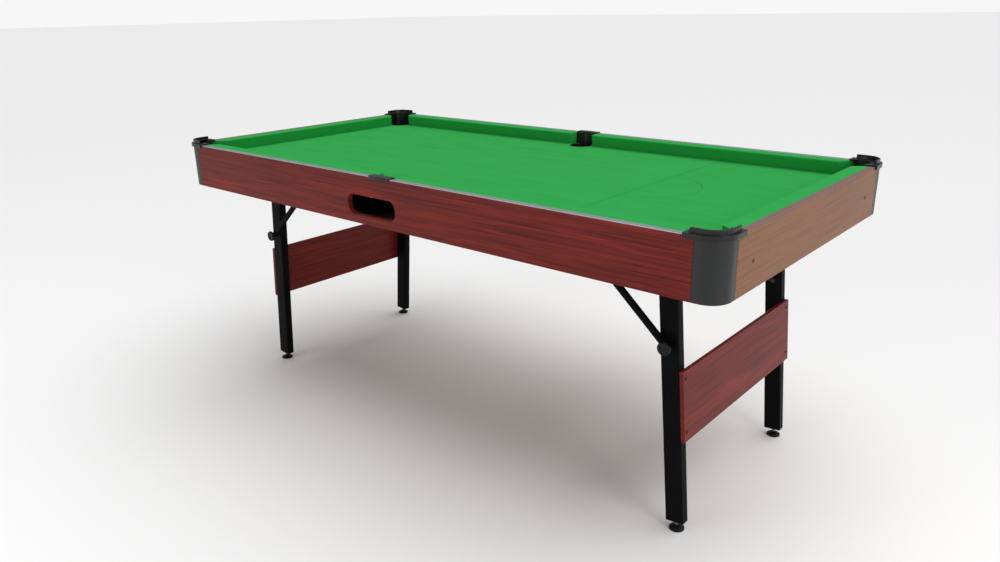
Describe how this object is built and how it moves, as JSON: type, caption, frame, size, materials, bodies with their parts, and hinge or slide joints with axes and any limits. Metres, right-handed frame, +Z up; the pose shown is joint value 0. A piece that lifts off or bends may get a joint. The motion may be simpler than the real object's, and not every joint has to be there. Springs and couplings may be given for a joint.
{
  "type": "pool table",
  "caption": "Folding-leg pool table with cloth-covered cushions, drop pockets and an inner ball return to a hand slot.",
  "frame": {"origin": "floor, under the middle of the table", "axes": "+X along the length to the right end, +Y away from the hand slot, +Z up"},
  "size_m": [1.84, 0.927, 0.78],
  "materials": {
    "cherry_board": "satin printed wood-grain laminate",
    "brown_board": "satin printed wood-grain laminate",
    "silver_trim": "satin",
    "brown_trim": "satin",
    "raw_timber": "unfinished",
    "green_cloth": "napped playing cloth",
    "cushion_rubber": "matte",
    "black_plastic": "fine textured",
    "pocket_plastic": "satin moulded",
    "channel_plastic": "moulded",
    "black_steel": "powder coated",
    "bright_steel": "zinc plated"
  },
  "bodies": {
    "table": {"front_apron": "cherry_board", "rear_apron": "cherry_board", "left_apron": "brown_board", "right_apron": "brown_board", "long_trims": "silver_trim", "end_trims": "brown_trim", "bed_board": "raw_timber", "bed_cloth": "green_cloth", "bed_battens": "raw_timber", "corner_blocks": "raw_timber", "frame_screws": "bright_steel", "corner_cover_front_left": "black_plastic", "corner_cover_front_right": "black_plastic", "corner_cover_rear_left": "black_plastic", "corner_cover_rear_right": "black_plastic", "corner_pocket_front_left": "pocket_plastic", "corner_pocket_front_right": "pocket_plastic", "corner_pocket_rear_left": "pocket_plastic", "corner_pocket_rear_right": "pocket_plastic", "side_pocket_front": "pocket_plastic", "side_pocket_rear": "pocket_plastic", "cushion_cloth_front_left": "green_cloth", "cushion_cloth_front_right": "green_cloth", "cushion_cloth_rear_left": "green_cloth", "cushion_cloth_rear_right": "green_cloth", "cushion_cloth_left_end": "green_cloth", "cushion_cloth_right_end": "green_cloth", "cushion_rubbers": "cushion_rubber", "cushion_rails": "raw_timber", "front_gullies": "channel_plastic", "rear_gullies": "channel_plastic", "cross_gully": "channel_plastic", "ball_box": "channel_plastic", "leg_brackets": "black_steel", "strut_brackets": "black_steel", "pivot_pins": "bright_steel"},
    "left_legs": {"leg_tube_left_front": "black_steel", "leg_tube_left_rear": "black_steel", "leg_crossbar_left": "black_steel", "stretcher_left": "cherry_board", "leg_fasteners_left": "bright_steel", "leg_plugs_left": "black_plastic"},
    "strut_left_front_body": {"strut_left_front": "black_steel"},
    "knob_left_front_body": {"knob_left_front": "black_plastic"},
    "foot_left_front_body": {"foot_left_front": "black_plastic"},
    "strut_left_rear_body": {"strut_left_rear": "black_steel", "strut_bolt_left_rear": "black_steel"},
    "foot_left_rear_body": {"foot_left_rear": "black_plastic"},
    "right_legs": {"leg_tube_right_front": "black_steel", "leg_tube_right_rear": "black_steel", "leg_crossbar_right": "black_steel", "stretcher_right": "cherry_board", "leg_fasteners_right": "bright_steel", "leg_plugs_right": "black_plastic"},
    "strut_right_front_body": {"strut_right_front": "black_steel"},
    "knob_right_front_body": {"knob_right_front": "black_plastic"},
    "foot_right_front_body": {"foot_right_front": "black_plastic"},
    "strut_right_rear_body": {"strut_right_rear": "black_steel", "strut_bolt_right_rear": "black_steel"},
    "foot_right_rear_body": {"foot_right_rear": "black_plastic"}
  },
  "joints": [
    {"name": "left_leg_fold", "type": "hinge", "parent": "table", "child": "left_legs", "pos_m": [-0.711, 0, 0.67], "axis": [0, -1, 0], "range_deg": [0, 95]},
    {"name": "left_front_strut_swing", "type": "hinge", "parent": "table", "child": "strut_left_front_body", "pos_m": [-0.461, -0.3015, 0.699], "axis": [0, 1, 0], "range_deg": [0, 40]},
    {"name": "left_front_knob_turn", "type": "hinge", "parent": "strut_left_front_body", "child": "knob_left_front_body", "pos_m": [-0.72948, -0.3015, 0.45881], "axis": [0, -1, 0], "continuous": true},
    {"name": "left_front_foot_level", "type": "slide", "parent": "left_legs", "child": "foot_left_front_body", "axis": [-0.0872, 0, -0.9962], "range_m": [-0.006, 0.006]},
    {"name": "left_rear_strut_swing", "type": "hinge", "parent": "table", "child": "strut_left_rear_body", "pos_m": [-0.461, 0.3015, 0.699], "axis": [0, 1, 0], "range_deg": [0, 40]},
    {"name": "left_rear_foot_level", "type": "slide", "parent": "left_legs", "child": "foot_left_rear_body", "axis": [-0.0872, 0, -0.9962], "range_m": [-0.006, 0.006]},
    {"name": "right_leg_fold", "type": "hinge", "parent": "table", "child": "right_legs", "pos_m": [0.711, 0, 0.67], "axis": [0, 1, 0], "range_deg": [0, 95]},
    {"name": "right_front_strut_swing", "type": "hinge", "parent": "table", "child": "strut_right_front_body", "pos_m": [0.461, -0.3015, 0.699], "axis": [0, -1, 0], "range_deg": [0, 40]},
    {"name": "right_front_knob_turn", "type": "hinge", "parent": "strut_right_front_body", "child": "knob_right_front_body", "pos_m": [0.72948, -0.3015, 0.45881], "axis": [0, -1, 0], "continuous": true},
    {"name": "right_front_foot_level", "type": "slide", "parent": "right_legs", "child": "foot_right_front_body", "axis": [0.0872, 0, -0.9962], "range_m": [-0.006, 0.006]},
    {"name": "right_rear_strut_swing", "type": "hinge", "parent": "table", "child": "strut_right_rear_body", "pos_m": [0.461, 0.3015, 0.699], "axis": [0, -1, 0], "range_deg": [0, 40]},
    {"name": "right_rear_foot_level", "type": "slide", "parent": "right_legs", "child": "foot_right_rear_body", "axis": [0.0872, 0, -0.9962], "range_m": [-0.006, 0.006]}
  ],
  "couplings": [
    {"joint": "left_front_strut_swing", "follows": "left_leg_fold", "ratio": 0.42105},
    {"joint": "left_rear_strut_swing", "follows": "left_leg_fold", "ratio": 0.42105},
    {"joint": "right_front_strut_swing", "follows": "right_leg_fold", "ratio": 0.42105},
    {"joint": "right_rear_strut_swing", "follows": "right_leg_fold", "ratio": 0.42105}
  ]
}
